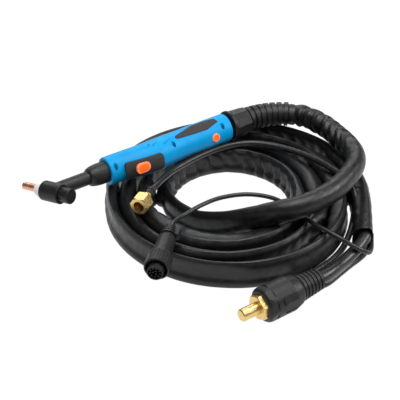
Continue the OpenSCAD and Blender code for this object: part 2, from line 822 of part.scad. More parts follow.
coil_count = ceil(coil_turns * coil_rings);
coil_route = [for (i = [0 : coil_count]) coil_point(coil_turns * i / coil_count)];
coil_first = coil_route[1] - coil_route[0];
coil_last = coil_route[coil_count] - coil_route[coil_count - 1];
coil_gap = min([for (i = [0 : coil_count - coil_rings]) for (k = [-2 : 2])
  let(j = i + coil_rings + k) j <= coil_count ? norm(coil_route[i] - coil_route[j]) : far]) - sleeve_w;
echo(least_gap_between_turns = coil_gap);

module sleeve_coil() {
  color("#232426") tube([for (i = [0 : coil_count])
    section(coil_route[i], heading(coil_route, i, coil_first, coil_last), sleeve_w, sleeve_high,
            sleeve_sides, 0.8)]);
}

// Round where it leaves the boot, flatter along the top of the coil, flat and
// upright where it goes down inside the coil.
module sleeve_lead() {
  n = len(lead_route) - 1;
  tip_d = boot_core_r * 2;
  color("#26272a") tube([for (i = [0 : n])
    let(wide = i < 5 ? mix(tip_d, 18, ease(i / 5)) : mix(18, sleeve_w, ease((i - 10) / 4)),
        high = i < 5 ? mix(tip_d, 29, ease(i / 5)) : mix(29, sleeve_high, ease((i - 10) / 4)))
    section(lead_route[i], heading(lead_route, i, boot_heading, coil_first), wide, high,
            sleeve_sides, mix(1, 0.8, ease(i / 5)))]);
}

mouth_wall = 1.4;
mouth_depth = 14;
mouth_wide = 21;
mouth_high = 31;

module sleeve_end() {
  n = len(end_route) - 1;
  mouth = end_route[n];
  out = unit(mouth - end_route[n - 1]);
  color("#232426") difference() {
    tube([for (i = [0 : n])
      section(end_route[i], heading(end_route, i, coil_last, out), mix(sleeve_w, mouth_wide, ease(i / n)),
              mix(sleeve_high, mouth_high, ease(i / n)), sleeve_sides, 0.8)]);
    tube([for (s = [-mouth_depth, 5])
      section(mouth + out * s, out, mouth_wide - 2 * mouth_wall, mouth_high - 2 * mouth_wall, sleeve_sides,
              0.8, mouth_wall - floor_drop)]);
  }
}

// ---------- leads ----------

mouth_heading = [-0.680, -0.733, 0];

module power_cable() {
  color("#17181a") round_cord(power_route, power_cable_d, mouth_heading, [-1, 0, 0], 10);
}

module gas_hose() {
  color("#1a1b1d") round_cord(gas_route, gas_hose_d, -gas_axis, -mouth_heading);
}

module control_cable() {
  color("#1a1b1d") round_cord(control_route, control_cable_d, mouth_heading, control_axis);
}

// ---------- power plug ----------

module power_pin() {
  edge = 1;
  relief = 0.8;
  socket_r = power_cable_d / 2 + 0.1;
  color("#d9bf6e") translate(plug_at) difference() {
    union() {
      turned([[0, 0], [0, pin_r - edge], [edge, pin_r], [pin_length - relief, pin_r],
              [pin_length - relief, pin_r - 0.5], [hex_end, pin_r - 0.5], [hex_end, 0]]);
      intersection() {
        translate([pin_length, 0, 0]) rotate([0, 90, 0]) hexagon(pin_hex, hex_end - pin_length);
        turned([[pin_length, 0], [pin_length, pin_hex * 0.5], [pin_length + 1.2, pin_hex * 0.58],
                [hex_end, pin_hex * 0.58], [hex_end, 0]]);
      }
      rod(hex_end - 1, cable_seat, shank_r);
    }
    rod(cable_seat - 14, cable_seat + 1, socket_r);
    translate([cable_seat - 8, 0, 0]) cylinder(r = 3 + slack, h = far);
  }
}

module power_ferrule() {
  color("#c8855a") translate(plug_at) rod(cable_seat - 13.9, cable_seat, power_cable_d / 2);
}

module power_set_screw() {
  foot = power_cable_d / 2 + 0.1;
  depth = shank_r - 0.6 - foot;
  color("#8a8d90") translate(plug_at + [cable_seat - 8, 0, foot]) difference() {
    cylinder(r = 3, h = depth);
    translate([0, 0, depth - 0.8]) hexagon(3, 2);
  }
}

module power_plug_cover() {
  r = power_plug_d / 2;
  shoulder = pin_length + 38;
  ribs_from = pin_length + 52;
  rib_pitch = (cover_end - ribs_from) / cover_ribs;
  grip_flat = r - 0.9;
  color("#2a2b2d") translate(plug_at) difference() {
    union() {
      turned([[cover_front, 0], [cover_front, r - 3], [cover_front + 2.4, r - 0.6], [cover_front + 5, r],
              [shoulder, r], [ribs_from - 4, r - 2.6], [ribs_from, r - 5.4], [cover_end - 1, r - 8.6],
              [cover_end, r - 9.6], [cover_end, 0]]);
      for (k = [0 : cover_ribs - 1])
        let(x = ribs_from + k * rib_pitch, rib_end = x + 0.55 * rib_pitch, rib_r = r - 4.6 - 0.5 * k)
          turned([[x, 0], [x, rib_r], [rib_end, rib_r], [rib_end, 0]]);
      rotate([62, 0, 0]) translate([pin_length + 30, 0, r - 1]) linear_extrude(1.7)
        polygon(oblong(17, 8, 1));
    }
    for (k = [0 : 7]) rotate([45 * k + 22.5, 0, 0]) translate([cover_front - 1, -far / 2, grip_flat])
      cube([11, far, far]);
    for (side = [-1, 1]) translate([pin_length + 37, side * (r - 1.8), 0]) rotate([-90 * side, 0, 0])
      linear_extrude(far) polygon(oblong(30, 13, 4));
    translate([cover_front - 1, 0, 0]) rotate([0, 90, 0]) hexagon(pin_hex + 0.2, hex_end - cover_front + 1);
    rod(cover_front, cable_seat, shank_r + slack);
    rod(cover_front, cover_end + 1, power_bore_r);
  }
}

// ---------- gas connector ----------

// The nut's thread ends in a wider relief, where the head of the nipple turns.
module gas_nut() {
  edge = 1;
  color("#cdb36a") gas_frame() difference() {
    intersection() {
      translate([0, 0, nut_back]) rotate([0, 0, 30]) hexagon(nut_hex, nut_length);
      spun([[nut_back, 0], [nut_back, nut_hex * 0.5 - 0.5], [nut_back + 2 * edge, nut_hex * 0.58],
            [nut_face - edge, nut_hex * 0.58], [nut_face, nut_hex * 0.5], [nut_face, 0]]);
    }
    translate([0, 0, nut_face - nut_thread]) cylinder(r = nut_bore_r, h = nut_thread + 1);
    translate([0, 0, nipple_head]) cylinder(r = nut_bore_r + 0.4, h = nut_face - nut_thread - nipple_head);
    translate([0, 0, nut_back - 1]) cylinder(r = nipple_r + run, h = far);
  }
}

module gas_nipple() {
  head = nipple_head;
  cone_r = nut_bore_r - 0.4;
  color("#c9a64a") gas_frame()
    spun([[-9.9, 1.5], [-9.9, 2], [0, 2], [0, nipple_r], [head + 0.2, nipple_r], [head + 0.2, cone_r],
          [head + 2.5, cone_r], [head + 5, nipple_r - 1.2], [head + 5, 1.5]]);
}

module gas_ferrule() {
  color("#b9a05a") gas_frame()
    spun([[-10, 2.1], [-10, 5], [-9.4, 5.4], [-6, 5.4], [-5.6, 4.9], [-4.4, 4.9], [-4, 5.4],
          [-0.6, 5.4], [-0.1, 5], [-0.1, 2.1]]);
}

// ---------- control connector ----------

module control_gland() {
  ribs = 4;
  rib_pitch = (gland_end - 2) / ribs;
  color("#1f2022") control_frame() difference() {
    union() {
      spun([[0, 0], [0, 5], [gland_end, 7.6], [gland_end, 0]]);
      for (k = [0 : ribs - 1]) let(s = 1 + k * rib_pitch, r = 6.4 + 0.7 * k)
        spun([[s, 0], [s, r], [s + 0.6 * rib_pitch, r + 0.2], [s + 0.6 * rib_pitch, 0]]);
      translate([0, 0, 3]) linear_extrude(11) polygon([for (p = oblong(8, 9, 1.5)) p + [0, 7]]);
    }
    translate([0, 0, 1]) cylinder(r = control_cable_d / 2, h = far);
  }
}

module control_shell() {
  color("#242527") control_frame() difference() {
    spun([[gland_end, 0], [gland_end, shell_r - 2.4], [gland_end + 3, shell_r - 1.4],
          [ring_start - 6, shell_r - 0.4], [ring_start - 5, shell_r + 1.2],
          [ring_start - 1.4, shell_r + 1.6], [ring_start - 0.2, shell_r + 1.4],
          [ring_start - 0.2, shell_r], [ring_start + 6, shell_r], [ring_start + 6, 0]]);
    translate([0, 0, gland_end - 1]) cylinder(r = insert_d / 2 - 2, h = far);
    translate([0, 0, ring_start - 4]) cylinder(r = insert_d / 2 + slack, h = far);
  }
}

module control_ring() {
  r = ring_d / 2;
  grooves = 24;
  color("#1c1d1f") control_frame() difference() {
    spun([[ring_start, shell_r + run], [ring_start, r - 0.6], [ring_start + 0.6, r],
          [ring_end - 0.8, r], [ring_end, r - 0.8], [ring_end, r - 1.6],
          [ring_start + 6.4, r - 1.6], [ring_start + 6.4, shell_r + run]]);
    for (k = [0 : grooves - 1]) rotate([0, 0, 360 * k / grooves])
      translate([r + 0.35, 0, ring_start + 2]) cylinder(r = 0.8, h = ring_end - ring_start - 5, $fn = 16);
  }
}

module control_insert() {
  r = insert_d / 2;
  color("#1a1b1d") control_frame() difference() {
    translate([0, 0, ring_start - 4]) cylinder(r = r, h = insert_end - ring_start + 4);
    translate([0, 0, insert_end - 7]) cylinder(r = r - 1.1, h = 8);
    contact_places() translate([0, 0, ring_start - 5]) cylinder(r = contact_r + slack, h = far);
  }
}

module contact_places() {
  inner = 3;
  outer = contact_count - inner;
  for (k = [0 : outer - 1]) rotate([0, 0, 360 * k / outer]) translate([5.2, 0, 0]) children();
  for (k = [0 : inner - 1]) rotate([0, 0, 360 * k / inner + 30]) translate([2.1, 0, 0]) children();
}

module control_contacts() {
  color("#b08d3c") control_frame() contact_places() translate([0, 0, ring_start - 3])
    cylinder(r = contact_r, h = insert_end - ring_start + 1.8);
}

collet_body();
collet();
heat_shield();
head_core();
head_jacket();
back_cap();
cap_o_ring();
neck_tube();
neck_boot();
handle_shell_upper();
handle_shell_lower();
handle_screws();
grip_insert_upper();
grip_insert_lower();
trigger_pad();
trigger();
microswitch();
switch_lever();
rear_button();
rear_switch();
power_connector();
swivel_ball();
swivel_ring();
swivel_collar();
cable_boot();
sleeve_lead();
sleeve_coil();
sleeve_end();
power_cable();
power_ferrule();
power_pin();
power_plug_cover();
power_set_screw();
gas_hose();
gas_ferrule();
gas_nipple();
gas_nut();
control_cable();
control_gland();
control_shell();
control_ring();
control_insert();
control_contacts();
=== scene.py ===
"""TIG torch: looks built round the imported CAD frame. Lengths in the tables are millimetres."""
import math
from collections import namedtuple

import bpy
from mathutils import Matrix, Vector, noise


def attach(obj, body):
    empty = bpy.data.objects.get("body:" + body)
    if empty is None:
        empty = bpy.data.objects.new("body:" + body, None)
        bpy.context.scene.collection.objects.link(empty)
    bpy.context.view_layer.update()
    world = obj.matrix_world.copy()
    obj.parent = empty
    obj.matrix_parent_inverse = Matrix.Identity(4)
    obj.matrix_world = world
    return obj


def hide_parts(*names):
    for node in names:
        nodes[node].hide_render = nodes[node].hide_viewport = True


MM = 0.001
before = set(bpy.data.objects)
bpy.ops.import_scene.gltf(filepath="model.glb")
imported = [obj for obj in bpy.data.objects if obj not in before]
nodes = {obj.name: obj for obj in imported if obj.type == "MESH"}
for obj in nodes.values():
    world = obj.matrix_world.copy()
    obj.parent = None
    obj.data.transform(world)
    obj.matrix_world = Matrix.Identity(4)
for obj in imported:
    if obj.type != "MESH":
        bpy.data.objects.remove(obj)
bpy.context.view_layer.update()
scene = bpy.context.scene

# ---------- sizes shared with the CAD source ----------

GRIP_ROLL = math.radians(81)
TRIGGER_X, TRIGGER_LENGTH, TRIGGER_WIDTH = 104.5, 17.0, 12.0
BUTTON_X, BUTTON_D = 207.8, 10.0
FLOOR_DROP = 51.0
BOOT_TIP = (313.173, -19.133, 0.0)
BOOT_CORE_D = 24.6
SLEEVE_H, SLEEVE_W = 32.7, 14.5
SLEEVE_CUT = SLEEVE_W / 10
COIL_Z = (SLEEVE_H - SLEEVE_CUT) / 2 - FLOOR_DROP
COIL_CENTRE = (183.4, -79.1)
COIL_R, COIL_PITCH = 72, 20
COIL_FIRST_ANGLE, COIL_TURNS = 144.8, 3.5
POWER_CABLE_D, GAS_HOSE_D, CONTROL_CABLE_D = 13.5, 7.2, 5.0
PLUG_AT = Vector((68.5, -250.0, -32.5))
PIN_LENGTH = 19.5
CABLE_SEAT = PIN_LENGTH + 40
GAS_BACK, GAS_ANGLE = Vector((86.9, -57.4, -6.6)), math.radians(-147.6)
GAS_AXIS = Vector((math.cos(GAS_ANGLE), math.sin(GAS_ANGLE), 0))
CONTROL_BACK = Vector((72.5, -123.7, -4.7))

# ---------- small helpers ----------


def mix(a, b, t):
    return a + (b - a) * t


def ease(t):
    """0 below 0, 1 above 1, and a smooth rise between."""
    c = min(1.0, max(0.0, t))
    return c * c * (3 - 2 * c)


def between(t, low, high, rise, fall):
    """1 between low and high, with a smooth rise after low and a smooth fall before high."""
    return ease((t - low) / rise) * ease((high - t) / fall)


def mesh_piece(name, points, faces):
    """A smooth object from points in millimetres, linked to the scene."""
    mesh = bpy.data.meshes.new(name)
    mesh.from_pydata([Vector(p) * MM for p in points], [], faces)
    mesh.validate()
    mesh.polygons.foreach_set("use_smooth", [True] * len(mesh.polygons))
    piece = bpy.data.objects.new(name, mesh)
    scene.collection.objects.link(piece)
    return piece


def rings_to_faces(count, sides):
    """Faces that join count rings of the same number of sides, with a cap on the first and on the last."""
    faces = []
    for a in range(0, (count - 1) * sides, sides):
        b = a + sides
        faces += [(a + k, a + (k + 1) % sides, b + (k + 1) % sides, b + k) for k in range(sides)]
    faces.append(tuple(reversed(range(sides))))
    faces.append(tuple((count - 1) * sides + k for k in range(sides)))
    return faces


def spline(points, step):
    """Points about step apart on a smooth curve through points."""
    p = [Vector(q) for q in points]
    p = [2 * p[0] - p[1]] + p + [2 * p[-1] - p[-2]]
    out = []
    for i in range(1, len(p) - 2):
        parts = max(1, round((p[i + 1] - p[i]).length / step))
        for k in range(parts):
            t = k / parts
            out.append(0.5 * (2 * p[i] + (p[i + 1] - p[i - 1]) * t
                              + (2 * p[i - 1] - 5 * p[i] + 4 * p[i + 1] - p[i + 2]) * t * t
                              + (3 * p[i] - p[i - 1] - 3 * p[i + 1] + p[i + 2]) * t * t * t))
    return out + [p[-2]]


def directions(line):
    """Unit direction of a line at each of its points."""
    last = len(line) - 1
    return [(line[min(i + 1, last)] - line[max(i - 1, 0)]).normalized() for i in range(last + 1)]


def level_frame(direction):
    """Directions across and up from a cord, with across level."""
    across = Vector((0, 0, 1)).cross(direction).normalized()
    return across, direction.cross(across)


# ---------- materials ----------

# sockets of a Mix node that blends colours
MIX_FACTOR, MIX_A, MIX_B, MIX_RESULT = 0, 6, 7, 2


class Finish:
    """A node material under construction, with its shader and its shared coordinates."""

    def __init__(self, name, colour, rough, metal=0.0, specular=0.5):
        self.material = bpy.data.materials.new(name)
        self.material.use_nodes = True
        self.tree = self.material.node_tree
        self.shader = self.tree.nodes["Principled BSDF"]
        self.colour = (*colour, 1)
        self.shader.inputs["Base Color"].default_value = self.colour
        self.shader.inputs["Roughness"].default_value = rough
        self.shader.inputs["Metallic"].default_value = metal
        self.shader.inputs["Specular IOR Level"].default_value = specular
        self.rough = rough
        self.height = None
        self.place = self.tree.nodes.new("ShaderNodeTexCoord").outputs["Object"]

    def node(self, kind, **values):
        """A new node whose sockets and settings take the values given."""
        made = self.tree.nodes.new(kind)
        for key, value in values.items():
            if key in made.inputs:
                made.inputs[key].default_value = value
            else:
                setattr(made, key, value)
        return made

    def link(self, a, b):
        self.tree.links.new(a, b)

    def noise(self, scale, detail=3.0):
        made = self.node("ShaderNodeTexNoise", Scale=scale, Detail=detail)
        self.link(self.place, made.inputs["Vector"])
        return made.outputs["Fac"]

    def turned(self, *angles):
        """The object's coordinates, turned about x, y and z."""
        made = self.node("ShaderNodeMapping", Rotation=angles)
        self.link(self.place, made.inputs["Vector"])
        return made.outputs["Vector"]

    def spread(self, value, low, high, from_low=0.3, from_high=0.7):
        """The value's range from_low to from_high, spread over low to high."""
        made = self.node("ShaderNodeMapRange")
        self.link(value, made.inputs["Value"])
        for key, number in (("From Min", from_low), ("From Max", from_high), ("To Min", low), ("To Max", high)):
            made.inputs[key].default_value = number
        return made.outputs["Result"]

    def math(self, operation, a, b):
        made = self.node("ShaderNodeMath", operation=operation)
        for socket, value in zip(made.inputs, (a, b)):
            if isinstance(value, (int, float)):
                socket.default_value = value
            else:
                self.link(value, socket)
        return made.outputs["Value"]

    def blend(self, factor, other):
        """The base colour, going over to another colour as factor goes from 0 to 1."""
        made = self.node("ShaderNodeMix", data_type="RGBA")
        made.inputs[MIX_A].default_value = self.colour
        made.inputs[MIX_B].default_value = (*other, 1)
        self.link(factor, made.inputs[MIX_FACTOR])
        self.link(made.outputs[MIX_RESULT], self.shader.inputs["Base Color"])
        return made.outputs[MIX_RESULT]

    def mottle(self, scale, other, detail=4.0):
        """Base colour drifts towards another colour."""
        self.blend(self.spread(self.noise(scale, detail), 0, 1), other)
        return self

    def uneven(self, scale, amount):
        """Roughness varies by amount over patches."""
        value = self.spread(self.noise(scale, 3), self.rough - amount, self.rough + amount)
        self.link(value, self.shader.inputs["Roughness"])
        return self

    def relief(self, height, distance, strength=1.0):
        """Bump by a height texture, distance deep in metres, on top of what is there."""
        made = self.node("ShaderNodeBump", Strength=strength, Distance=distance)
        self.link(height, made.inputs["Height"])
        if self.height is not None:
            self.link(self.height, made.inputs["Normal"])
        self.height = made.outputs["Normal"]
        self.link(self.height, self.shader.inputs["Normal"])
        return self

    def grain(self, scale, distance, detail=3.0):
        return self.relief(self.noise(scale, detail), distance)


def blue_plastic():
    f = Finish("blue_plastic", (0.0, 0.27, 0.60), 0.40, specular=0.16)
    f.mottle(60, (0.0, 0.30, 0.64)).uneven(400, 0.05)
    return f.grain(2200, 0.00004).material


def grip_rubber(name, colour, hatch=0.0):
    """Soft dark rubber, cross-hatched at a scale of hatch if that isn't 0."""
    f = Finish(name, colour, 0.6, specular=0.3)
    f.mottle(900, tuple(1.5 * c for c in colour)).uneven(500, 0.08).grain(1800, 0.00008)
    if hatch:
        for turn in (45, -45):
            lines = f.node("ShaderNodeTexWave", Scale=hatch, bands_direction="X", wave_profile="SIN")
            f.link(f.turned(GRIP_ROLL, 0, math.radians(turn)), lines.inputs["Vector"])
            f.relief(lines.outputs["Fac"], 0.0003, 0.8)
    return f.material


def glowing_button_plastic(name, centre, length, width):
    """Bright orange plastic with a paler rim round a button's middle, which lies at centre along the handle. The
    same colour is also emitted as a faint painted glow, though the button is no lamp.
    """
    f = Finish(name, (1.0, 0.13, 0.012), 0.46, specular=0.25)
    local = f.node("ShaderNodeSeparateXYZ")
    f.link(f.turned(-GRIP_ROLL, 0, 0), local.inputs["Vector"])
    reach = []
    for axis, middle, size in (("X", centre, length), ("Y", 0, width)):
        away = f.math("ABSOLUTE", f.math("SUBTRACT", local.outputs[axis], middle * MM), 0)
        reach.append(f.math("POWER", f.math("DIVIDE", away, size / 2 * MM), 3))
    colour = f.blend(f.spread(f.math("ADD", *reach), 0, 1, 0.36, 0.50), (1.0, 0.26, 0.11))
    # painted glow: the orange, paler at the rim, also shines as emission, so the button looks brighter than the
    # lamps make it
    f.link(colour, f.shader.inputs["Emission Color"])
    f.shader.inputs["Emission Strength"].default_value = 0.3
    return f.uneven(700, 0.06).grain(2600, 0.00003).material


def moulded_rubber():
    f = Finish("moulded_rubber", (0.0095, 0.0096, 0.0100), 0.42, specular=0.32)
    f.mottle(45, (0.015, 0.0151, 0.0156)).uneven(260, 0.09)
    return f.grain(1500, 0.00007).material


def black_nylon():
    f = Finish("black_nylon", (0.0085, 0.0086, 0.0090), 0.38, specular=0.32)
    f.mottle(70, (0.013, 0.0131, 0.0136)).uneven(350, 0.08)
    return f.grain(2400, 0.00006).material


def switch_plastic():
    f = Finish("switch_plastic", (0.05, 0.052, 0.056), 0.5)
    return f.mottle(140, (0.07, 0.072, 0.076)).grain(2000, 0.00003).material


def sleeve_skin():
    f = Finish("sleeve_skin", (0.0034, 0.0035, 0.0037), 0.40, specular=0.42)
    f.mottle(38, (0.0062, 0.0063, 0.0066)).uneven(150, 0.09)
    return f.grain(900, 0.00012, 4.0).grain(70, 0.0005, 2.0).material


def cable_rubber():
    f = Finish("cable_rubber", (0.010, 0.0102, 0.011), 0.30, specular=0.4)
    f.mottle(60, (0.016, 0.0162, 0.017)).uneven(300, 0.06)
    return f.grain(1100, 0.00005).material


def metal(name, colour, rough, other):
    f = Finish(name, colour, rough, metal=1.0)
    f.mottle(160, other).uneven(600, rough * 0.35)
    return f.grain(1800, 0.00003, 5.0).material


def white_ptfe():
    f = Finish("white_ptfe", (0.86, 0.86, 0.83), 0.35)
    f.mottle(120, (0.80, 0.80, 0.76)).uneven(400, 0.06)
    return f.grain(1500, 0.00003).material


BLUE = blue_plastic()
GRIP = grip_rubber("grip_rubber", (0.026, 0.025, 0.026))
HATCHED = grip_rubber("hatched_rubber", (0.024, 0.0195, 0.019), hatch=62.0)
TRIGGER_ORANGE = glowing_button_plastic("trigger_orange", TRIGGER_X, TRIGGER_LENGTH, TRIGGER_WIDTH)
BUTTON_ORANGE = glowing_button_plastic("button_orange", BUTTON_X, BUTTON_D, BUTTON_D)
RUBBER = moulded_rubber()
NYLON = black_nylon()
SWITCH = switch_plastic()
SLEEVE = sleeve_skin()
CABLE = cable_rubber()
COPPER = metal("bare_copper", (0.86, 0.47, 0.32), 0.34, (0.70, 0.36, 0.22))
BRASS = metal("machined_brass", (0.70, 0.52, 0.22), 0.36, (0.60, 0.43, 0.17))
PALE_BRASS = metal("turned_brass", (0.84, 0.62, 0.27), 0.33, (0.76, 0.53, 0.20))
STEEL = metal("plated_steel", (0.42, 0.43, 0.45), 0.35, (0.30, 0.31, 0.33))
CONTACT = metal("dark_contacts", (0.055, 0.055, 0.058), 0.5, (0.04, 0.04, 0.042))
WHITE = white_ptfe()

NODE_FINISH = {
    "collet_body": COPPER, "collet": COPPER, "neck_tube": COPPER, "power_ferrule": COPPER,
    "heat_shield": WHITE, "swivel_ring": WHITE,
    "head_core": BRASS, "power_connector": BRASS, "gas_nipple": BRASS,
    "gas_ferrule": NYLON, "control_contacts": CONTACT, "gas_nut": PALE_BRASS, "power_pin": PALE_BRASS,
    "head_jacket": RUBBER, "neck_boot": RUBBER, "cap_o_ring": RUBBER, "cable_boot": RUBBER,
    "power_plug_cover": RUBBER, "back_cap": NYLON, "swivel_ball": NYLON, "swivel_collar": NYLON,
    "control_gland": NYLON, "control_shell": NYLON, "control_ring": NYLON, "control_insert": NYLON,
    "microswitch": SWITCH, "rear_switch": SWITCH,
    "handle_shell_upper": BLUE, "handle_shell_lower": BLUE,
    "trigger_pad": GRIP, "grip_insert_upper": HATCHED, "grip_insert_lower": HATCHED,
    "trigger": TRIGGER_ORANGE, "rear_button": BUTTON_ORANGE,
    "handle_screws": STEEL, "power_set_screw": STEEL, "switch_lever": STEEL,
    "sleeve_lead": SLEEVE, "sleeve_coil": SLEEVE, "sleeve_end": SLEEVE,
    "power_cable": CABLE, "gas_hose": CABLE, "control_cable": CABLE,
}


def dress(piece, finish):
    piece.data.materials.clear()
    piece.data.materials.append(finish)


for name, finish in NODE_FINISH.items():
    dress(nodes[name], finish)

# ---------- camera, floor and light ----------

CAMERA_AT = Vector((-416.2, -868.9, 654.3)) * MM
CAMERA_TARGET = Vector((150.2, -65.5, -34.0)) * MM
FIELD_OF_VIEW = math.radians(21.15)
FLOOR_REACH, FLOOR_GAP = 4000, 0.1
SKY_LIGHT = 0.18
# name, place and size in metres, watts
LAMPS = (
    ("top_box", (0.25, -0.25, 1.5), (1.4, 1.2), 29),
    ("back_box", (0.75, 1.25, 0.8), (1.9, 0.5), 9),
    ("right_box", (1.3, -0.8, 0.8), (0.9, 0.6), 14),
)
LAMP_TARGET = Vector((0.15, -0.08, 0.0))


def aim(thing, place, target):
    """Put a camera or a lamp at place, looking at target."""
    thing.location = place
    thing.rotation_mode = "QUATERNION"
    thing.rotation_quaternion = (target - place).to_track_quat("-Z", "Y")
    scene.collection.objects.link(thing)


def add_camera():
    data = bpy.data.cameras.new("camera")
    data.angle = FIELD_OF_VIEW
    scene.camera = bpy.data.objects.new("camera", data)
    aim(scene.camera, CAMERA_AT, CAMERA_TARGET)


def add_floor():
    """A white sweep that glows, so that it stays white right up to the object."""
    reach, z = FLOOR_REACH, -FLOOR_DROP - FLOOR_GAP
    corners = [(-reach, -reach, z), (reach, -reach, z), (reach, reach, z), (-reach, reach, z)]
    floor = mesh_piece("floor", corners, [(0, 1, 2, 3)])
    f = Finish("floor_white", (0.02, 0.02, 0.02), 0.9, specular=0.0)
    f.mottle(3, (0.03, 0.03, 0.03))
    f.shader.inputs["Emission Color"].default_value = (1, 1, 1, 1)
    f.shader.inputs["Emission Strength"].default_value = 1.0
    dress(floor, f.material)


def add_light():
    """An even grey sky and the lamps of LAMPS."""
    world = bpy.data.worlds.new("studio")
    scene.world = world
    world.use_nodes = True
    backdrop = world.node_tree.nodes["Background"]
    backdrop.inputs["Color"].default_value = (1, 1, 1, 1)
    backdrop.inputs["Strength"].default_value = SKY_LIGHT
    for name, place, size, power in LAMPS:
        data = bpy.data.lights.new(name, "AREA")
        data.shape = "RECTANGLE"
        data.size, data.size_y = size
        data.energy = power
        aim(bpy.data.objects.new(name, data), Vector(place), LAMP_TARGET)
    scene.view_settings.view_transform = "Standard"


add_camera()
add_floor()
add_light()

# ---------- routes of the cords ----------
# The same points as in the CAD source, but for the gas hose, which turns back behind the power plug.


def coil_point(t):
    """Middle of the coiled sleeve after t turns.

    The turns lie wider apart on the near side and closer on the right, and the last one swings out at the back.
    """
    a = math.radians(COIL_FIRST_ANGLE - 360 * t)
    turn = math.radians(360 * t)
    near = max(0.0, -math.sin(turn)) if t > 0.3 else 0.0
    right = max(0.0, -math.cos(turn)) * (1 - ease((t - 1.6) / 0.8))
    drift = -5 * math.sin(math.radians(72 * t)) if t < 2.5 else 0.0
    back = max(0.0, math.cos(2 * math.pi * (t - 3.04))) ** 4 if t > 2.8 else 0.0
    r = COIL_R + COIL_PITCH * t + (19 - 2.5 * t) * near - 5.5 * right + 5 * back + 8 * ease((t - 3) / 0.5)
    return (COIL_CENTRE[0] + r * math.cos(a) + 0.817 * drift,
            COIL_CENTRE[1] + r * math.sin(a) - 0.576 * drift, COIL_Z)


LEAD_ROUTE = [
    BOOT_TIP, (326, -35, 0), (331, -60, 0), (329, -87, 0), (325, -113, 0), (315, -136, 1), (298, -154, 3),
    (275, -167, 4), (249, -177, 4), (223, -181, 4), (199, -179, 2.5), (180, -168.5, -2), (160, -149, -14),
    (141, -126, -27), (126, -100, COIL_Z), (118.5, -77, COIL_Z), (118.6, -57, COIL_Z), coil_point(0),
]
END_ROUTE = [coil_point(COIL_TURNS), (292, -184, COIL_Z), (274, -204, -36), (254.5, -225, -36)]
POWER_ROUTE = [
    (263.4, -214.2, -31), (253.9, -224.5, -31.2), (240, -231, -34), (220, -237, -36.2), (203, -242, -36.2),
    (188, -247, -34), (174, -249.8, -32.8), (160, -250, -32.5), (PLUG_AT.x + CABLE_SEAT, -250, -32.5),
]
GAS_ROUTE = [
    tuple(GAS_BACK - 10 * GAS_AXIS), (106, -45.5, -7.6), (121, -35, -11), (147, -22.5, -14), (186, -16, -14),
    (221, -17, -14), (249, -27, -14), (269, -49, -14), (283, -78, -14), (290, -106, -14),
    (292, -131, -14.2), (292, -146, -14.4), (291, -160, -21), (286, -173, -29),
    (274.2, -184.2, -36), (260, -196, -42), (244, -206.5, -46), (230, -214, -47.3), (213, -220.2, -47.4),
    (197, -223.6, -47.4), (183, -225, -47.4), (170.5, -228, -47.4), (164.5, -236.5, -47.4),
    (170.5, -245, -47.4), (183, -246.8, -47.4), (202, -242.6, -47.4), (221, -238, -47.4), (237, -235, -47.2),
    (248, -231.8, -46.4), (256.4, -226.2, -45.2), (265.9, -216.5, -44.8),
]
CONTROL_ROUTE = [
    (268.5, -218.9, -38.8), (259, -229.2, -38.8), (251, -237.5, -38.5), (242, -243.5, -36.5),
    (232.5, -243.5, -30), (224, -236.5, -24), (216, -226, -17.5), (211, -211, -15.2), (208, -194, -15.3),
    (207.5, -170, -15.3), (206, -147, -15), (199, -127, -14.5), (181, -109, -14), (154, -99, -13.5),
    (127.5, -99, -13), (102, -106, -10.5), (88, -111.5, -7.5), (79, -117.4, -5.4), tuple(CONTROL_BACK),
]

# ---------- leads ----------

CORD_SIDES = 20


def round_cord(name, replaced, route, diameter):
    """A round lead that takes the place of a CAD node, with its centre line."""
    line = spline(route, diameter * 0.45)
    points = []
    for centre, direction in zip(line, directions(line)):
        across, up = level_frame(direction)
        for k in range(CORD_SIDES):
            a = 2 * math.pi * k / CORD_SIDES
            points.append(centre + (across * math.cos(a) + up * math.sin(a)) * diameter / 2)
    piece = mesh_piece(name, points, rings_to_faces(len(line), CORD_SIDES))
    dress(piece, CABLE)
    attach(piece, "cable_set")
    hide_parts(replaced)
    return piece, line


def declare(piece, line, diameter, ends_in=(), **facts):
    """Gather the facts of what a cord is, with the nodes on its far end named in ends_in; the facts are not
    passed on to the frame.
    """
    if ends_in:
        facts["with_pieces"] = [nodes[name] for name in ends_in]


power_lead, power_line = round_cord("power_lead", "power_cable", POWER_ROUTE, POWER_CABLE_D)
declare(power_lead, power_line, POWER_CABLE_D, far_end="plug", stiffness="medium", lay="loose",
        ends_in=("power_plug_cover", "power_pin", "power_ferrule", "power_set_screw"))

gas_lead, gas_line = round_cord("gas_lead", "gas_hose", list(reversed(GAS_ROUTE)), GAS_HOSE_D)
declare(gas_lead, gas_line, GAS_HOSE_D, far_end="fitting", stiffness="limp", lay="loose",
        ends_in=("gas_ferrule", "gas_nipple", "gas_nut"))

control_lead, control_line = round_cord("control_lead", "control_cable", CONTROL_ROUTE, CONTROL_CABLE_D)
declare(control_lead, control_line, CONTROL_CABLE_D, far_end="connector", stiffness="limp", lay="loose",
        ends_in=("control_gland", "control_shell", "control_ring", "control_insert", "control_contacts"))

# ---------- cable sleeve ----------

SLEEVE_STEP = 1.8
SLEEVE_HALF_SIDES = 26
COIL_STEP = 1 / 320
LEAD_W, LEAD_H = 22, 24.5
END_W, END_H = 21, 31
FOLD_PERIOD, FOLD_SLANT = 16.5, 5.0
LEAD_FOLD_PERIOD, LEAD_FOLD_SLANT = 14.5, 8.0
SMOOTH_FOLD = 0.3
SWELL_LIMIT = 14.0
SHELF, SHELF_LIFT = 14.0, 1.5
# rings of the hem round the open end and of the inside behind it: size against the outline, and depth
MOUTH_DEEP = 12.0
MOUTH = ((1.03, -0.15), (1.02, -0.05), (0.93, -0.03), (0.88, 0.1), (0.86, 0.5), (0.84, 1.0))
# the two sides of the sleeve: away from the middle of the coil, and towards it
OUTER, INNER = 0, 1

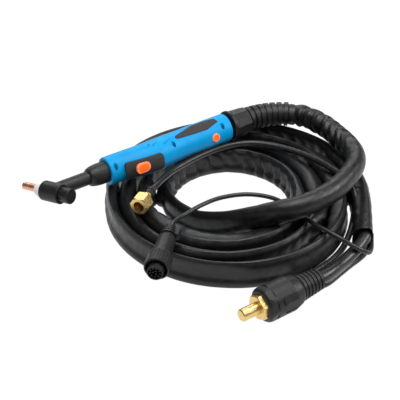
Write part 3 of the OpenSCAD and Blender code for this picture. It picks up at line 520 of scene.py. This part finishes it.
# An outline across the sleeve. keyed goes from 0, an oval of the given power, to 1, flat with a thick lead along
# its foot. Each side has a depth of puckers and a swell. shelf lays the inner crest over, and lift raises it.
Section = namedtuple("Section", "wide high keyed power depth swell shelf lift period slant",
                     defaults=((0.0, 0.0), 0.0, 0.0, FOLD_PERIOD, FOLD_SLANT))


def sleeve_line():
    """Centres along the whole sleeve, with the number of points in its lead and in its coil."""
    lead = spline(LEAD_ROUTE, SLEEVE_STEP)
    coil = [Vector(coil_point(i * COIL_STEP)) for i in range(1, round(COIL_TURNS / COIL_STEP) + 1)]
    end = spline(END_ROUTE, SLEEVE_STEP)[1:]
    return lead + coil + end, len(lead), len(coil)


def lead_section(place):
    """Section at a place along LEAD_ROUTE, counted in its points: round in the boot, flat by the coil."""
    flat, into_coil = ease(place / 5), ease((place - 10) / 4)
    if place < 5:
        wide, high = mix(BOOT_CORE_D, LEAD_W, flat), mix(BOOT_CORE_D, LEAD_H, flat)
    else:
        wide, high = mix(LEAD_W, SLEEVE_W, into_coil), mix(LEAD_H, SLEEVE_H, into_coil)
    gathered = ease(place / 0.5)
    depth = (mix(1.9, SMOOTH_FOLD, ease((place - 1) / 3)) * gathered,
             mix(6.0, 2 * SMOOTH_FOLD, ease((place - 3) / 2)) * gathered)
    return Section(wide, high, into_coil, mix(1, 0.92, flat), depth,
                   period=LEAD_FOLD_PERIOD, slant=LEAD_FOLD_SLANT)


def room_beside(t, turn):
    """Level distance from the coil after t turns to the next turn out (1) or in (-1)."""
    other = t + turn
    if not 0 <= other <= COIL_TURNS:
        return None
    here = Vector(coil_point(t)).to_2d()
    return min((Vector(coil_point(other + k * COIL_STEP)).to_2d() - here).length for k in range(-18, 19, 3))


def coil_section(t):
    """Section after t turns of the coil, swollen into the room beside it where the turns are seen end on."""
    share = t % 1
    seen_along = max(ease((share - 0.76) / 0.06), ease((0.06 - share) / 0.05),
                     between(share, 0.37, 0.62, 0.05, 0.05))
    depth, swell = [SMOOTH_FOLD, 4.6], [0.0, 0.0]
    for side, turn in ((OUTER, 1), (INNER, -1)):
        room = room_beside(t, turn)
        if room is not None:
            depth[side] = SMOOTH_FOLD + 1.5 * ease((room - 20) / 6)
            swell[side] = seen_along * min(SWELL_LIMIT, max(0.0, room / 2 - SLEEVE_W * 0.48 + 2.0))
    swell[OUTER] -= 3.0 * between(t, 2.72, 3.02, 0.05, 0.05)
    under_lead = between(t, 0.49, 0.98, 0.1, 0.12)
    return Section(SLEEVE_W, SLEEVE_H, 1.0, 0.8, depth, swell,
                   shelf=SHELF * under_lead, lift=SHELF_LIFT * under_lead)


def end_section(share):
    """Section at a share of the way from the coil to the sleeve's open end."""
    return Section(mix(SLEEVE_W, END_W, share), mix(SLEEVE_H, END_H, share), 1 - share, 0.8, (0.5, 1.2),
                   swell=(-3.5 * share, 12 - 8.5 * share))


def outline_half(v, high, web, foot_r, crest_r):
    """Half thickness at height v (-1 foot, 1 crest) of a sleeve with a thick lead along its foot."""
    y = v * high / 2
    foot = foot_r ** 2 - (y + high / 2 - foot_r) ** 2
    crest = crest_r ** 2 - (y - high / 2 + crest_r) ** 2
    middle = web * (1 - abs(v) ** 6)
    return max(math.sqrt(max(0, foot)), math.sqrt(max(0, crest)), middle)


def folds(s, v, side, period, slant):
    """Height of the sleeve's puckers at s along it and v up it: round ridges between sharp creases."""
    wander = 0.45 * period * noise.noise(Vector((s / (3 * period), side * 3.1, 0.5)))
    phase = (s + wander + slant * (v + 0.4 * math.sin(3 * v + s / 23))) / period
    number = math.floor(phase)
    ridge = math.sin(math.pi * (phase - number)) ** 0.75
    size = 0.75 + 0.7 * noise.noise(Vector((number * 1.7 + 0.3, side * 2.3, 4.1)))
    fine = noise.noise(Vector((s / 6.5, v * 1.5, side * 7.7)))
    return (ridge - 0.62) * size + 0.22 * fine


def signed_power(x, power):
    return math.copysign(abs(x) ** power, x)


def sleeve_ring(centre, direction, travelled, section):
    """Points round the sleeve at centre, travelled millimetres from the boot."""
    wide, high, keyed, power, depth, swell, shelf, lift, period, slant = section
    across, up = level_frame(direction)
    ring = []
    for k in range(2 * SLEEVE_HALF_SIDES):
        a = math.pi * (k + 0.5) / SLEEVE_HALF_SIDES - math.pi / 2
        c, s = math.cos(a), math.sin(a)
        side = OUTER if c > 0 else INNER
        oval = Vector((wide / 2 * signed_power(c, power), high / 2 * signed_power(s, power)))
        half = outline_half(s, high, wide * 0.33, wide * 0.48, wide * 0.15)
        q = oval.lerp(Vector((math.copysign(half, c), high / 2 * s)), keyed)
        fold = mix(depth[INNER], depth[OUTER], 0.5 + 0.5 * c) * mix(1.0, (1 - s ** 4) ** 0.5, keyed)
        q += Vector((c, (1 - keyed) * s)) * (fold * folds(travelled, s, side, period, slant))
        q.x += math.copysign(1, c) * swell[side] * (1 - s * s) ** 0.6
        if side == INNER:
            q.x -= shelf * ease((s + 0.35) / 0.5) * (1 - s * s) ** 0.2
        q.y += lift * ease(s)
        p = centre + across * q.x + up * q.y
        p.z = max(p.z, -FLOOR_DROP + 0.05)
        ring.append(p)
    return ring


def mouth_rings(ring, direction):
    """The hem round the sleeve's last ring, and the inside as deep as the ends of the leads."""
    middle = sum(ring, Vector()) / len(ring)
    inward = -MOUTH_DEEP * direction
    return [middle + (p - middle) * size + inward * depth for size, depth in MOUTH for p in ring]


def build_sleeve():
    """The cable sleeve as one skin from the boot to its open end."""
    line, lead_count, coil_count = sleeve_line()
    last = len(line) - 1
    points, travelled = [], 0.0
    for i, (centre, direction) in enumerate(zip(line, directions(line))):
        if i:
            travelled += (line[i] - line[i - 1]).length
        if i < lead_count:
            section = lead_section(i / lead_count * (len(LEAD_ROUTE) - 1))
        elif i < lead_count + coil_count:
            section = coil_section((i - lead_count + 1) * COIL_STEP)
        else:
            section = end_section(ease((i - lead_count - coil_count) / (last - lead_count - coil_count)))
        ring = sleeve_ring(centre, direction, travelled, section)
        points += ring
    points += mouth_rings(ring, direction)
    piece = mesh_piece("cable_sleeve", points, rings_to_faces(len(line) + len(MOUTH), 2 * SLEEVE_HALF_SIDES))
    dress(piece, SLEEVE)
    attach(piece, "cable_set")
    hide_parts("sleeve_lead", "sleeve_coil", "sleeve_end")
    declare(piece, line, SLEEVE_H, far_end="bare", stiffness="limp", lay="coiled")


build_sleeve()
